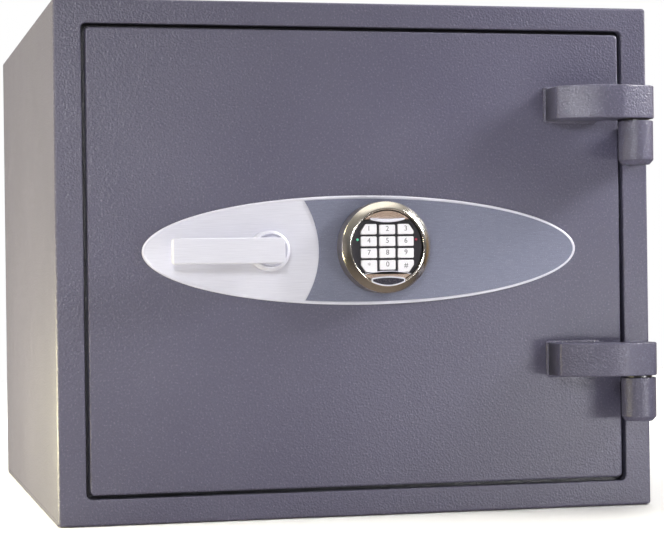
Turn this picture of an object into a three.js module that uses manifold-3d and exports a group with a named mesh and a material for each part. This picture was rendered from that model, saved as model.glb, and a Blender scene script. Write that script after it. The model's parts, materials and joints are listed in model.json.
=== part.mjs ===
// A free-standing cabinet safe with an external-hinged door, a lever handle and a round electronic keypad.
// Millimetres, +Z up. The origin is the centre of the base; the front faces -Y and the hinges are on +X.
import * as THREE from "three";
import { mergeVertices } from "three/addons/utils/BufferGeometryUtils.js";
import Module from "manifold-3d";

// Driving dimensions
const WIDTH = 550;
const HEIGHT = 460;
const DEPTH = 520;
const FRONT = -DEPTH / 2;
const BACK = DEPTH / 2;
const GAP = 0.3;
const EDGE_ROUND = 3;

// Cabinet: sheet thicknesses, the door opening and the barrier walls
const SKIN = 4;
const FRAME_THICK = 8;
const FRAME_BORDER = 24.5;
const FRAME_BOTTOM = 23;
const FRAME_TOP = 21.5;
const JAMB_STEP = 4.5;
const JAMB_CLEARANCE = 2;
const JAMB_DEPTH = 92;
const WALL = 50;
const LINER = 1.5;
const OPENING_RIGHT = WIDTH / 2 - FRAME_BORDER;
const OPENING_LOW = FRAME_BOTTOM;
const OPENING_HIGH = HEIGHT - FRAME_TOP;
const CAVITY_RIGHT = WIDTH / 2 - WALL;
const CAVITY_LOW = WALL;
const CAVITY_HIGH = HEIGHT - WALL;
const ANCHOR_X = 120;
const ANCHOR_Y = 60;
const ANCHOR_R = 8;
const SHELF_Z = 226;
const SHELF_FRONT = FRONT + 112;
const SHELF_BACK = BACK - 64;
const SHELF_LIP = 14;
const SHEET = 2;
const BRACKET_LEG = 16;

// Door: the outer plate, the barrier behind it and the case that holds the bolt work
const DOOR_GAP = 3.5;
const DOOR_PLATE = 10;
const DOOR_RIGHT = OPENING_RIGHT - DOOR_GAP;
const DOOR_LOW = OPENING_LOW + DOOR_GAP;
const DOOR_HIGH = OPENING_HIGH - DOOR_GAP;
const CORE_RIGHT = 228;
const CORE_LOW = 45;
const CORE_HIGH = 416;
const CORE_DEPTH = 35;
const CASE_DEPTH = 42;
const CASE_WALL = 4;
const COVER_THICK = 2;
const CASE_FRONT = FRONT + DOOR_PLATE + CORE_DEPTH + 2 * GAP;
const CASE_BACK = CASE_FRONT + CASE_DEPTH;

// Bolt work: live bolts on the opening side, fixed dog bolts on the hinge side
const BOLT_R = 11;
const BOLT_Y = FRONT + 64;
const BOLT_THROW = 24;
const BOLT_SPACING = 120;
const BOLT_TIP = -231;
const BOLT_CLEARANCE = 1;
const POCKET_END = 260;
const DOG_TIP = 257;
const DOG_CLEARANCE = 2.5;
const CARRIAGE_LEFT = -196;
const CARRIAGE_BAR = 26;
const CARRIAGE_THICK = 6;
const CARRIAGE_OVERHANG = 20;
const TONGUE_END = -45;
const TONGUE_HEIGHT = 28;

// Hinges: the pin line, the door arms and the fixed knuckles
const PIN_X = 250;
const PIN_Y = FRONT - 33;
const PIN_R = 6;
const PIN_CLEARANCE = 0.4;
const ARM_END_R = 16.4;
const ARM_LEFT = 175.5;
const ARM_FOOT_RIGHT = 224;
const ARM_HEIGHT = 29.8;
const ARM_LOWS = { upper: 354.5, lower: 122 };
const ARM_REACH = 52;
const ARM_SHOULDER = 31;
const ARM_CROWN_X = 234;
const WELD = 2;
const KNUCKLE_R = 15.6;
const KNUCKLE_HEIGHT = 39.4;
const KNUCKLE_CHAMFER = 4;
const KNUCKLE_WEB_LEFT = 252;
const WASHER_THICK = 1.4;
const WASHER_R = 12;

// Trim: the elliptical plate, its dark insert, the handle and the keypad
const TRIM_X = 1.5;
const TRIM_Z = 238.3;
const TRIM_HALF_WIDTH = 201;
const TRIM_HALF_HEIGHT = 49;
const TRIM_THICK = 1.2;
const INSERT_THICK = 0.6;
const INSERT_RIM = 2.8;
const DIVIDER_X = -41.5;
const DIVIDER_R = 81;
const HANDLE_X = -87;
const LEVER_LEFT = -177;
const LEVER_RIGHT = -82.5;
const LEVER_HEIGHT = 22.5;
const LEVER_THICK = 11;
const LEVER_FRONT = 32;
const LEVER_SOCKET = 10;
const HUB_R = 9.5;
const ROSETTE_R = 17.8;
const ROSETTE_HEIGHT = 15;
const ROSETTE_ROUND = 3;
const ROSETTE_DISH = 2;
const SPINDLE = 9;
const SPINDLE_HOLE_R = 8;
const HANDLE_TURN = 75;
const CRANK_R = BOLT_THROW / 2 / Math.sin(THREE.MathUtils.degToRad(HANDLE_TURN / 2));
const CRANK_PIN_R = 4;
const CRANK_SLOT = 0.7;
const LOCK_WIDTH = 90;
const LOCK_HEIGHT = 68;
const LATCH_LENGTH = 32;
const KEYPAD_X = 17.3;
const KEYPAD_Z = 240.4;
const KEYPAD_R = 41;
const KEYPAD_WALL = 18;
const KEYPAD_HEIGHT = 25;
const KEYPAD_INNER_R = 33.2;
const KEYPAD_FLOOR = 4;
const KEYPAD_LIP = 2.2;
const FACE_DEPTH = 3.2;
const FACE_THICK = 2.5;
const KEY_PITCH_X = 17;
const KEY_PITCH_Z = 10.5;
const KEY_WIDTH = 14.6;
const KEY_TALL = 8.6;
const KEY_TOP_TALL = 9.2;
const KEY_BOTTOM_TALL = 10.7;
const KEY_SLANT_X = 4.4;
const KEY_SLANT_Z = 6.4;
const KEY_ROUND = 0.9;
const KEY_PROUD = 1.6;
const KEY_STEM = 5.5;
const KEY_CLEARANCE = 0.35;
const LED_R = 1.1;
const LED_X = 27;
const LED_RISE = 6.8;
const VISOR_Z = 24;
const BADGE_Z = -23.5;
const ROUND_STEPS = 32;

const wasm = await Module();
wasm.setup();

// A closed geometry as a solid that can be joined and cut.
function solid(geometry) {
  geometry.deleteAttribute("normal");
  geometry.deleteAttribute("uv");
  const merged = mergeVertices(geometry, 1e-4);
  const vertProperties = merged.attributes.position.array;
  const triVerts = new Uint32Array(merged.index.array);
  return new wasm.Manifold(new wasm.Mesh({ numProp: 3, vertProperties, triVerts }));
}

// A solid's surface as a geometry for a mesh.
function surface(made) {
  const mesh = made.getMesh();
  const geometry = new THREE.BufferGeometry();
  geometry.setAttribute("position", new THREE.BufferAttribute(mesh.vertProperties, 3));
  geometry.setIndex(new THREE.BufferAttribute(mesh.triVerts, 1));
  geometry.computeVertexNormals();
  return geometry;
}

function box(x, y, z) {
  const geometry = new THREE.BoxGeometry(x[1] - x[0], y[1] - y[0], z[1] - z[0]);
  geometry.translate((x[0] + x[1]) / 2, (y[0] + y[1]) / 2, (z[0] + z[1]) / 2);
  return solid(geometry);
}

function roundX(radius, x, y, z) {
  const geometry = new THREE.CylinderGeometry(radius, radius, x[1] - x[0], ROUND_STEPS);
  geometry.rotateZ(Math.PI / 2);
  geometry.translate((x[0] + x[1]) / 2, y, z);
  return solid(geometry);
}

function roundY(radius, x, y, z, steps = ROUND_STEPS) {
  const geometry = new THREE.CylinderGeometry(radius, radius, y[1] - y[0], steps);
  geometry.translate(x, (y[0] + y[1]) / 2, z);
  return solid(geometry);
}

function roundZ(radius, x, y, z) {
  const geometry = new THREE.CylinderGeometry(radius, radius, z[1] - z[0], ROUND_STEPS);
  geometry.rotateX(Math.PI / 2);
  geometry.translate(x, y, (z[0] + z[1]) / 2);
  return solid(geometry);
}

// A front-view outline made solid between two depths.
function upright(shape, y, steps = 8, bevel = 0) {
  const settings = { depth: y[1] - y[0] - bevel, bevelEnabled: bevel > 0, curveSegments: steps };
  settings.bevelSize = bevel;
  settings.bevelThickness = bevel;
  settings.bevelOffset = -bevel;
  settings.bevelSegments = 3;
  const geometry = new THREE.ExtrudeGeometry(shape, settings);
  geometry.rotateX(Math.PI / 2);
  geometry.translate(0, y[1], 0);
  const made = solid(geometry);
  if (bevel === 0) return made;
  // The bevel is wanted on the front edges only, so the rear one is cut away.
  const reach = 2 * WIDTH;
  return made.intersect(box([-reach, reach], [y[0], y[1]], [-reach, reach]));
}

// A plan-view outline made solid between two heights.
function level(shape, z, steps = 12) {
  const geometry = new THREE.ExtrudeGeometry(shape, {
    depth: z[1] - z[0],
    bevelEnabled: false,
    curveSegments: steps,
  });
  geometry.translate(0, 0, z[0]);
  return solid(geometry);
}

// A profile of [radius, distance in front of the door] turned about the line that faces the user.
function turnedFront(profile, x, z, steps = 64) {
  const points = profile.map(([radius, proud]) => new THREE.Vector2(radius, -proud));
  const geometry = new THREE.LatheGeometry(points.reverse(), steps);
  geometry.translate(x, FRONT, z);
  return solid(geometry);
}

function roundedRectangle(left, right, low, high, radius) {
  const shape = new THREE.Shape();
  shape.absarc(right - radius, low + radius, radius, -Math.PI / 2, 0);
  shape.absarc(right - radius, high - radius, radius, 0, Math.PI / 2);
  shape.absarc(left + radius, high - radius, radius, Math.PI / 2, Math.PI);
  shape.absarc(left + radius, low + radius, radius, Math.PI, 1.5 * Math.PI);
  return shape;
}

const safe = new THREE.Group();
const painted = { color: 0x6c697b, roughness: 0.45, metalness: 0.3 };
const raw_steel = { color: 0x9a9a9c, roughness: 0.4, metalness: 1 };
const concrete = { color: 0x8f8d88, roughness: 0.95, metalness: 0 };
const light_paint = { color: 0xb9b9bb, roughness: 0.6, metalness: 0.1 };
const silver = { color: 0xdedfe8, roughness: 0.35, metalness: 0.6 };
const chrome = { color: 0xd9d2c4, roughness: 0.12, metalness: 1 };
const dark_plastic = { color: 0x35343c, roughness: 0.5, metalness: 0 };
const key_plastic = { color: 0xf2f1f2, roughness: 0.45, metalness: 0 };

function add(name, made, look, group = safe) {
  const mesh = new THREE.Mesh(surface(made), new THREE.MeshStandardMaterial(look));
  mesh.name = name;
  group.add(mesh);
}

// Cabinet ---------------------------------------------------------------------------------------------

function frontFrame() {
  const outline = roundedRectangle(-WIDTH / 2, WIDTH / 2, 0, HEIGHT, EDGE_ROUND);
  outline.holes.push(roundedRectangle(-OPENING_RIGHT, OPENING_RIGHT, OPENING_LOW, OPENING_HIGH, 5));
  return upright(outline, [FRONT, FRONT + FRAME_THICK], 2, 2);
}

// The deep ring behind the front frame, with pockets for the live bolts and the dog bolts.
function jambRing() {
  const side = WIDTH / 2 - SKIN - GAP;
  const low = SKIN + GAP;
  const y = [FRONT + DOOR_PLATE + JAMB_CLEARANCE, FRONT + JAMB_DEPTH];
  const inner = OPENING_RIGHT - JAMB_STEP;
  let ring = box([-side, side], y, [low, HEIGHT - low]);
  const innerZ = [OPENING_LOW + JAMB_STEP, OPENING_HIGH - JAMB_STEP];
  ring = ring.subtract(box([-inner, inner], [y[0] - 1, y[1] + 1], innerZ));
  for (const z of liveBoltHeights()) {
    ring = ring.subtract(roundX(BOLT_R + 2 * BOLT_CLEARANCE, [-POCKET_END, -inner + 1], BOLT_Y, z));
  }
  for (const z of dogBoltHeights()) {
    ring = ring.subtract(roundX(BOLT_R + DOG_CLEARANCE, [inner - 1, POCKET_END], BOLT_Y, z));
  }
  return ring;
}

// One sheet folded over the left side, the top and the right side, round at the two folds.
function outerWrap() {
  const half = WIDTH / 2;
  const low = SKIN + GAP;
  const shape = new THREE.Shape();
  shape.moveTo(-half, low);
  shape.lineTo(-half + SKIN, low);
  shape.lineTo(-half + SKIN, HEIGHT - SKIN);
  shape.lineTo(half - SKIN, HEIGHT - SKIN);
  shape.lineTo(half - SKIN, low);
  shape.lineTo(half, low);
  shape.absarc(half - EDGE_ROUND, HEIGHT - EDGE_ROUND, EDGE_ROUND, 0, Math.PI / 2);
  shape.absarc(-half + EDGE_ROUND, HEIGHT - EDGE_ROUND, EDGE_ROUND, Math.PI / 2, Math.PI);
  return upright(shape, [FRONT + FRAME_THICK + GAP, BACK - SKIN - GAP], 2);
}

function withAnchorHoles(made, z) {
  const holes = [-1, 1].map((side) => roundZ(ANCHOR_R, side * ANCHOR_X, ANCHOR_Y, z));
  return holes.reduce((rest, hole) => rest.subtract(hole), made);
}

function basePlate() {
  const y = [FRONT + FRAME_THICK + GAP, BACK - SKIN - GAP];
  const plate = box([-WIDTH / 2, WIDTH / 2], y, [0, SKIN]);
  return withAnchorHoles(plate, [-1, SKIN + 1]);
}

function backPlate() {
  const outline = roundedRectangle(-WIDTH / 2, WIDTH / 2, 0, HEIGHT, EDGE_ROUND);
  return upright(outline, [BACK - SKIN, BACK], 2);
}

function addBarriers() {
  const side = WIDTH / 2 - SKIN - GAP;
  const low = SKIN + GAP;
  const y = [FRONT + JAMB_DEPTH + GAP, BACK - SKIN - GAP];
  const backY = [BACK - WALL, y[1]];
  const inner = CAVITY_RIGHT + GAP;
  add("barrier_left", box([-side, -inner], y, [low, HEIGHT - low]), concrete);
  add("barrier_right", box([inner, side], y, [low, HEIGHT - low]), concrete);
  add("barrier_top", box([-CAVITY_RIGHT, CAVITY_RIGHT], y, [CAVITY_HIGH + GAP, HEIGHT - low]), concrete);
  const floor = box([-CAVITY_RIGHT, CAVITY_RIGHT], y, [low, CAVITY_LOW - GAP]);
  add("barrier_bottom", withAnchorHoles(floor, [0, WALL + 1]), concrete);
  add("barrier_back", box([-CAVITY_RIGHT, CAVITY_RIGHT], backY, [CAVITY_LOW, CAVITY_HIGH]), concrete);
}

// A five-sided sheet box that lines the cavity, open at the front.
function innerLiner() {
  const y = [FRONT + JAMB_DEPTH + GAP, BACK - WALL - GAP];
  const x = [-CAVITY_RIGHT + GAP, CAVITY_RIGHT - GAP];
  const z = [CAVITY_LOW, CAVITY_HIGH];
  const hollow = box([x[0] + LINER, x[1] - LINER], [y[0] - 1, y[1] - LINER], [z[0] + LINER, z[1] - LINER]);
  return withAnchorHoles(box(x, y, z).subtract(hollow), [WALL - 1, WALL + LINER + 1]);
}

// A flat tray with its front edge folded down.
function shelf() {
  const right = CAVITY_RIGHT - LINER - 2 * GAP;
  const tray = box([-right, right], [SHELF_FRONT, SHELF_BACK], [SHELF_Z, SHELF_Z + SHEET]);
  const lip = box([-right, right], [SHELF_FRONT, SHELF_FRONT + SHEET], [SHELF_Z - SHELF_LIP, SHELF_Z + 1]);
  return tray.add(lip);
}

function shelfBracket(side) {
  const wall = CAVITY_RIGHT - LINER - 2 * GAP;
  const y = [SHELF_FRONT + SHEET + GAP, SHELF_BACK - 10];
  const top = SHELF_Z - GAP;
  const across = (from, to) => (side > 0 ? [from, to] : [-to, -from]);
  const flat = box(across(wall - BRACKET_LEG, wall), y, [top - SHEET, top]);
  return flat.add(box(across(wall - SHEET, wall), y, [top - BRACKET_LEG, top - 1]));
}

// A push-in plug that covers one anchor hole in the cavity floor.
function anchorPlug(side) {
  const floor = WALL + LINER + GAP;
  const cap = roundZ(ANCHOR_R + 4, side * ANCHOR_X, ANCHOR_Y, [floor, floor + 2]);
  return cap.add(roundZ(ANCHOR_R - GAP, side * ANCHOR_X, ANCHOR_Y, [floor - 12, floor + 1]));
}

// Hinges ----------------------------------------------------------------------------------------------

function knuckleTop(armLow) {
  return armLow - WASHER_THICK - 2 * GAP;
}

// The fixed barrel with a chamfered foot, and the web that welds it to the front frame.
function knuckle(armLow) {
  const top = knuckleTop(armLow);
  const low = top - KNUCKLE_HEIGHT;
  const profile = [
    [0, low],
    [KNUCKLE_R - KNUCKLE_CHAMFER, low],
    [KNUCKLE_R, low + KNUCKLE_CHAMFER],
    [KNUCKLE_R, top],
    [0, top],
  ];
  const geometry = new THREE.LatheGeometry(profile.map(([r, z]) => new THREE.Vector2(r, z)), ROUND_STEPS);
  geometry.rotateX(Math.PI / 2);
  geometry.translate(PIN_X, PIN_Y, 0);
  const barrel = solid(geometry);
  const webX = [KNUCKLE_WEB_LEFT, PIN_X + KNUCKLE_R - 1];
  const web = box(webX, [PIN_Y, FRONT - GAP], [low + KNUCKLE_CHAMFER, top - 1]);
  const bore = roundZ(PIN_R + GAP, PIN_X, PIN_Y, [low + 2 * KNUCKLE_CHAMFER, top + 1]);
  return barrel.add(web).subtract(bore);
}

function hingePin(armLow) {
  const low = knuckleTop(armLow) - KNUCKLE_HEIGHT + 2 * KNUCKLE_CHAMFER + GAP;
  return roundZ(PIN_R, PIN_X, PIN_Y, [low, armLow + ARM_HEIGHT - 8]);
}

function hingeWasher(armLow) {
  const z = [armLow - GAP - WASHER_THICK, armLow - GAP];
  const ring = roundZ(WASHER_R, PIN_X, PIN_Y, z);
  return ring.subtract(roundZ(PIN_R + PIN_CLEARANCE, PIN_X, PIN_Y, [z[0] - 1, z[1] + 1]));
}

// The door arm: a thick plate whose front curves out from its square left end and closes round the pin.
function armOutline() {
  const shoulderRise = ARM_REACH - ARM_SHOULDER;
  const run = ARM_CROWN_X - ARM_LEFT;
  const radius = (run * run + shoulderRise * shoulderRise) / (2 * shoulderRise);
  const centreY = FRONT - ARM_REACH + radius;
  const start = Math.atan2(FRONT - ARM_SHOULDER - centreY, ARM_LEFT - ARM_CROWN_X);
  const shape = new THREE.Shape();
  shape.moveTo(ARM_LEFT, FRONT - GAP);
  shape.absarc(ARM_CROWN_X, centreY, radius, start, -Math.PI / 2);
  shape.quadraticCurveTo(PIN_X + 8, FRONT - ARM_REACH + 0.5, PIN_X + ARM_END_R - 2, PIN_Y - 8);
  shape.absarc(PIN_X, PIN_Y, ARM_END_R, Math.atan2(-8, ARM_END_R - 2), Math.PI / 2);
  shape.lineTo(ARM_FOOT_RIGHT + 6, PIN_Y + ARM_END_R);
  shape.quadraticCurveTo(ARM_FOOT_RIGHT, PIN_Y + ARM_END_R, ARM_FOOT_RIGHT, PIN_Y + ARM_END_R + 6);
  shape.lineTo(ARM_FOOT_RIGHT, FRONT - GAP);
  return shape;
}

// The sloped bead that welds the arm's foot to the door plate.
function armWeld(armLow) {
  const inside = roundedRectangle(ARM_LEFT, ARM_FOOT_RIGHT, armLow, armLow + ARM_HEIGHT, 1);
  const geometry = new THREE.ExtrudeGeometry(inside, {
    depth: 0.01,
    bevelEnabled: true,
    bevelSize: WELD,
    bevelThickness: WELD,
    bevelSegments: 2,
    curveSegments: 2,
  });
  geometry.rotateX(Math.PI / 2);
  geometry.translate(0, FRONT - GAP, 0);
  const made = solid(geometry);
  return made.intersect(box([0, WIDTH], [FRONT - 2 * WELD, FRONT - GAP], [0, HEIGHT]));
}

function hingeArm(armLow) {
  const arm = level(armOutline(), [armLow, armLow + ARM_HEIGHT]);
  const bore = roundZ(PIN_R + PIN_CLEARANCE, PIN_X, PIN_Y, [armLow - 1, armLow + ARM_HEIGHT - 6]);
  return arm.add(armWeld(armLow)).subtract(bore);
}

// Door ------------------------------------------------------------------------------------------------

function spindleHole(made, y) {
  return made.subtract(roundY(SPINDLE_HOLE_R, HANDLE_X, y, TRIM_Z, 24));
}

function doorPlate() {
  const outline = roundedRectangle(-DOOR_RIGHT, DOOR_RIGHT, DOOR_LOW, DOOR_HIGH, 4);
  const plate = upright(outline, [FRONT, FRONT + DOOR_PLATE], 2, 1.5);
  return spindleHole(plate, [FRONT - 1, FRONT + DOOR_PLATE + 1]);
}

function doorBarrier() {
  const y = [FRONT + DOOR_PLATE + GAP, CASE_FRONT - GAP];
  const block = box([-CORE_RIGHT, CORE_RIGHT], y, [CORE_LOW, CORE_HIGH]);
  return spindleHole(block, [y[0] - 1, y[1] + 1]);
}

// The four-sided case round the bolt work, with a guide hole for each live bolt.
function boltworkCase() {
  const y = [CASE_FRONT, CASE_BACK];
  const inner = CORE_RIGHT - CASE_WALL;
  const outside = box([-CORE_RIGHT, CORE_RIGHT], y, [CORE_LOW, CORE_HIGH]);
  const hollow = box([-inner, inner], [y[0] - 1, y[1] + 1], [CORE_LOW + CASE_WALL, CORE_HIGH - CASE_WALL]);
  let made = outside.subtract(hollow);
  for (const z of liveBoltHeights()) {
    made = made.subtract(roundX(BOLT_R + BOLT_CLEARANCE, [-CORE_RIGHT - 1, -inner + 1], BOLT_Y, z));
  }
  return made;
}

function boltworkCover() {
  const outline = roundedRectangle(-CORE_RIGHT, CORE_RIGHT, CORE_LOW, CORE_HIGH, 2);
  return upright(outline, [CASE_BACK + GAP, CASE_BACK + GAP + COVER_THICK], 1);
}

function liveBoltHeights() {
  return [-1, 0, 1].map((step) => TRIM_Z + step * BOLT_SPACING);
}

function dogBoltHeights() {
  return [-1, 1].map((step) => TRIM_Z + step * BOLT_SPACING);
}

function liveBolt(z) {
  const nose = 2;
  const shank = roundX(BOLT_R, [BOLT_TIP + nose, CARRIAGE_LEFT - GAP], BOLT_Y, z);
  const geometry = new THREE.CylinderGeometry(BOLT_R, BOLT_R - nose, nose, ROUND_STEPS);
  geometry.rotateZ(-Math.PI / 2);
  geometry.translate(BOLT_TIP + nose / 2, BOLT_Y, z);
  return shank.add(solid(geometry));
}

function dogBolt(z) {
  return roundX(BOLT_R, [CORE_RIGHT + GAP, DOG_TIP], BOLT_Y, z);
}

function carriageDepths() {
  return [BOLT_Y - CARRIAGE_THICK / 2, BOLT_Y + CARRIAGE_THICK / 2];
}

// One flat plate: the upright bar behind the live bolts, and the tongue that the crank pin drives.
function boltCarriage() {
  const y = carriageDepths();
  const reach = BOLT_SPACING + CARRIAGE_OVERHANG;
  const pinZ = TRIM_Z + CRANK_R;
  const tongueZ = [pinZ - TONGUE_HEIGHT / 2, pinZ + TONGUE_HEIGHT / 2];
  const bar = box([CARRIAGE_LEFT, CARRIAGE_LEFT + CARRIAGE_BAR], y, [TRIM_Z - reach, TRIM_Z + reach]);
  const tongue = box([CARRIAGE_LEFT + 1, TONGUE_END], y, tongueZ);
  const slotX = HANDLE_X + BOLT_THROW / 2;
  const half = CRANK_PIN_R + CRANK_SLOT;
  const slot = box([slotX - half, slotX + half], [y[0] - 1, y[1] + 1], [pinZ - 10, pinZ + CRANK_PIN_R + 1]);
  return bar.add(tongue).subtract(slot);
}

// The disc on the spindle's inner end, with the pin that drives the carriage.
function driveCrank() {
  const y = [CASE_FRONT + 3, BOLT_Y - CARRIAGE_THICK / 2 - 1];
  const start = THREE.MathUtils.degToRad(HANDLE_TURN / 2);
  const disc = roundY(CRANK_R + CRANK_PIN_R + 2, HANDLE_X, y, TRIM_Z);
  const pinX = HANDLE_X + CRANK_R * Math.sin(start);
  const pinZ = TRIM_Z + CRANK_R * Math.cos(start);
  const pin = roundY(CRANK_PIN_R, pinX, [y[1] - 1, BOLT_Y + CARRIAGE_THICK], pinZ, 24);
  return disc.add(pin).subtract(spindleBox([y[0] - 1, y[1] + 1], GAP));
}

function spindleBox(y, clearance) {
  const half = SPINDLE / 2 + clearance;
  return box([HANDLE_X - half, HANDLE_X + half], y, [TRIM_Z - half, TRIM_Z + half]);
}

function lockCase() {
  const left = KEYPAD_X - LOCK_WIDTH / 2;
  const z = latchHeights();
  const low = z[1] + 6 - LOCK_HEIGHT;
  const y = [CASE_FRONT + GAP, CASE_BACK - 4];
  const body = box([left, left + LOCK_WIDTH], y, [low, low + LOCK_HEIGHT]);
  const [near, far] = carriageDepths();
  const channel = box([left - 1, left + LATCH_LENGTH], [near - GAP, far + GAP], [z[0] - GAP, z[1] + GAP]);
  return body.subtract(channel);
}

function latchHeights() {
  const centre = TRIM_Z + CRANK_R;
  return [centre - 10, centre + 10];
}

// The lock's own bolt. It stands behind the carriage's tongue and follows it when the bolts are thrown.
function lockLatch() {
  const left = TONGUE_END + 1;
  return box([left, left + LATCH_LENGTH], carriageDepths(), latchHeights());
}

// Trim, handle and keypad -----------------------------------------------------------------------------

function ellipse(inset) {
  const shape = new THREE.Shape();
  shape.absellipse(TRIM_X, TRIM_Z, TRIM_HALF_WIDTH - inset, TRIM_HALF_HEIGHT - inset, 0, 2 * Math.PI);
  return shape;
}

function trimPlate() {
  const y = [FRONT - GAP - TRIM_THICK, FRONT - GAP];
  return spindleHole(upright(ellipse(0), y, 48), [y[0] - 1, y[1] + 1]);
}

function insertFront() {
  return 2 * GAP + TRIM_THICK + INSERT_THICK;
}

// The dark face on the right of the trim plate, cut on the left by an arc that bulges to the right.
function trimInsert() {
  const y = [FRONT - insertFront(), FRONT - 2 * GAP - TRIM_THICK];
  const arc = roundY(DIVIDER_R, DIVIDER_X - DIVIDER_R, [y[0] - 1, y[1] + 1], TRIM_Z, 160);
  const beyond = box([-WIDTH, DIVIDER_X - DIVIDER_R / 2], [y[0] - 1, y[1] + 1], [0, HEIGHT]);
  return upright(ellipse(INSERT_RIM), y, 48).subtract(arc).subtract(beyond);
}

function handleRosette() {
  const low = 2 * GAP + TRIM_THICK;
  const high = low + ROSETTE_HEIGHT;
  const profile = [
    [HUB_R + GAP, low],
    [ROSETTE_R, low],
    [ROSETTE_R, high - ROSETTE_ROUND],
    [ROSETTE_R - 0.4 * ROSETTE_ROUND, high - 0.3 * ROSETTE_ROUND],
    [ROSETTE_R - ROSETTE_ROUND, high],
    [HUB_R + GAP + 1, high - ROSETTE_DISH],
    [HUB_R + GAP, high - 2 * ROSETTE_DISH],
    [HUB_R + GAP, low],
  ];
  return turnedFront(profile, HANDLE_X, TRIM_Z, 36);
}

// A flat bar with softened edges on a round hub, with a square socket for the spindle.
function handleLever() {
  const half = LEVER_HEIGHT / 2;
  const bar = roundedRectangle(LEVER_LEFT, LEVER_RIGHT, TRIM_Z - half, TRIM_Z + half, 2.5);
  const y = [FRONT - LEVER_FRONT, FRONT - LEVER_FRONT + LEVER_THICK];
  const hub = roundY(HUB_R, HANDLE_X, [y[1] - 1, FRONT - 2 * GAP - TRIM_THICK], TRIM_Z);
  const socket = spindleBox([FRONT - LEVER_FRONT + LEVER_SOCKET, FRONT + 1], GAP);
  return upright(bar, y, 2, 1).add(hub).subtract(socket);
}

function handleSpindle() {
  return spindleBox([FRONT - LEVER_FRONT + LEVER_SOCKET + GAP, BOLT_Y - CARRIAGE_THICK / 2 - 2], 0);
}

// The turned keypad body: a straight wall, a broad curved bevel and a lip round the recessed face.
function keypadHousing() {
  const low = insertFront() + GAP;
  const floor = low + KEYPAD_FLOOR;
  const lip = KEYPAD_INNER_R + KEYPAD_LIP;
  const run = KEYPAD_R - lip;
  const rise = KEYPAD_HEIGHT - KEYPAD_WALL;
  const profile = [
    [0, low],
    [KEYPAD_R, low],
    [KEYPAD_R, KEYPAD_WALL],
    [KEYPAD_R - 0.3 * run, KEYPAD_WALL + 0.45 * rise],
    [KEYPAD_R - 0.7 * run, KEYPAD_WALL + 0.85 * rise],
    [lip, KEYPAD_HEIGHT],
    [KEYPAD_INNER_R, KEYPAD_HEIGHT - KEYPAD_LIP / 3],
    [KEYPAD_INNER_R - 2 * GAP, floor],
    [0, floor],
  ];
  return turnedFront(profile, KEYPAD_X, KEYPAD_Z, 56);
}

function faceRange() {
  const front = KEYPAD_HEIGHT - FACE_DEPTH;
  return [FRONT - front, FRONT - front + FACE_THICK];
}

// The corner keys reach further up or down than the rest.
function keyTall(column, row) {
  if (column === 1) return KEY_TALL;
  return { 0: KEY_TOP_TALL, 3: KEY_BOTTOM_TALL }[row] ?? KEY_TALL;
}

// A key's front-view outline with small cut corners, and a long slant on the corner keys' outer side.
function keyOutline(column, row, grow) {
  const tall = keyTall(column, row);
  const outward = Math.sign(1.5 - row);
  const halfWidth = KEY_WIDTH / 2 + grow;
  const halfTall = tall / 2 + grow;
  const x = KEYPAD_X + (column - 1) * KEY_PITCH_X;
  const z = KEYPAD_Z + (1.5 - row) * KEY_PITCH_Z + outward * (tall - KEY_TALL) / 2;
  const corners = [[1, -1], [1, 1], [-1, 1], [-1, -1]];
  const points = corners.flatMap(([sx, sz], turn) => {
    const slanted = tall > KEY_TALL && sx === column - 1 && sz === outward;
    const cutX = slanted ? KEY_SLANT_X : KEY_ROUND;
    const cutZ = slanted ? KEY_SLANT_Z : KEY_ROUND;
    const onSide = new THREE.Vector2(x + sx * halfWidth, z + sz * (halfTall - cutZ));
    const onEnd = new THREE.Vector2(x + sx * (halfWidth - cutX), z + sz * halfTall);
    return turn % 2 === 1 ? [onSide, onEnd] : [onEnd, onSide];
  });
  return new THREE.Shape(points);
}

function eachKey(visit) {
  const names = ["1", "2", "3", "4", "5", "6", "7", "8", "9", "clear", "0", "enter"];
  names.forEach((name, index) => visit("key_" + name, index % 3, Math.floor(index / 3)));
}

// The dark face with a hole for every key, cut off above and below where the visor and badge sit.
function keypadFace() {
  const y = faceRange();
  const through = [y[0] - 1, y[1] + 1];
  const radius = KEYPAD_INNER_R - 3 * GAP;
  let face = roundY(radius, KEYPAD_X, y, KEYPAD_Z, 56);
  eachKey((name, column, row) => {
    face = face.subtract(upright(keyOutline(column, row, KEY_CLEARANCE), through));
  });
  for (const side of [-1, 1]) {
    face = face.subtract(roundY(LED_R + 0.2, KEYPAD_X + side * LED_X, through, ledHeight(), 16));
  }
  const band = [KEYPAD_Z + BADGE_Z + GAP, KEYPAD_Z + VISOR_Z - GAP];
  return face.intersect(box([-WIDTH, WIDTH], through, band));
}

function ledHeight() {
  return KEYPAD_Z + LED_RISE;
}

function led(side) {
  const y = faceRange();
  return roundY(LED_R, KEYPAD_X + side * LED_X, [y[0] - 0.5, y[1]], ledHeight(), 16);
}

// A piece of the disc inside the keypad's lip, above or below a level.
function discSegment(z, proud) {
  const y = [FRONT - proud, faceRange()[1]];
  const disc = roundY(KEYPAD_INNER_R - 3 * GAP, KEYPAD_X, y, KEYPAD_Z, 56);
  return disc.intersect(box([-WIDTH, WIDTH], [y[0] - 1, y[1] + 1], z));
}

function key(column, row) {
  const front = faceRange()[0] - KEY_PROUD;
  return upright(keyOutline(column, row, 0), [front, front + KEY_STEM], 8);
}

// Assembly --------------------------------------------------------------------------------------------

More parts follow.
